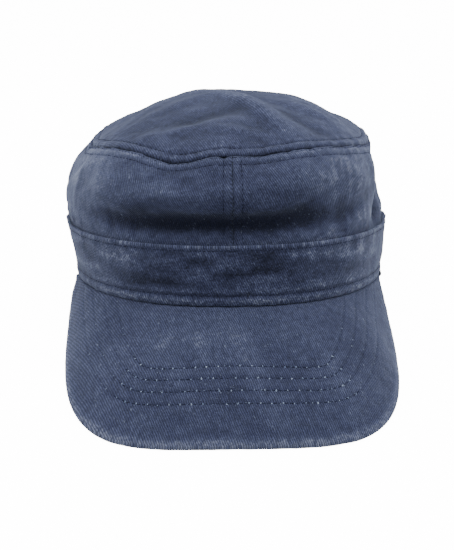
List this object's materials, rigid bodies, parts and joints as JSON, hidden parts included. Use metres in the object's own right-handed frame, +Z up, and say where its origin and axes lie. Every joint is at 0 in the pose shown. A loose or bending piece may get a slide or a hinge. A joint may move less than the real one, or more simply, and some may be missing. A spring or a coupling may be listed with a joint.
{
  "type": "army cap",
  "caption": "Soft cadet-style army cap of washed cotton: round crown with a domed top panel, a doubled band and a stitched peak, open underneath for the head.",
  "frame": {"origin": "middle of the cap's box, on the surface it rests on", "axes": "-Y towards the front, where the peak points; +X to the wearer's left, the right of a viewer in front; +Z up"},
  "size_m": [0.176, 0.2678, 0.1203],
  "materials": {
    "band": "washed navy cotton twill, doubled, matt",
    "wall_left": "washed navy cotton twill, matt, paler on its folds",
    "wall_right": "washed navy cotton twill, matt, paler on its folds",
    "top_panel": "washed navy cotton twill, matt, paler on its ridges",
    "peak": "washed navy cotton twill over a stiffener, matt, worn pale along the edge"
  },
  "bodies": {
    "root": {"band": "band", "wall_left": "wall_left", "wall_right": "wall_right", "top_panel": "top_panel", "peak": "peak"}
  },
  "joints": []
}
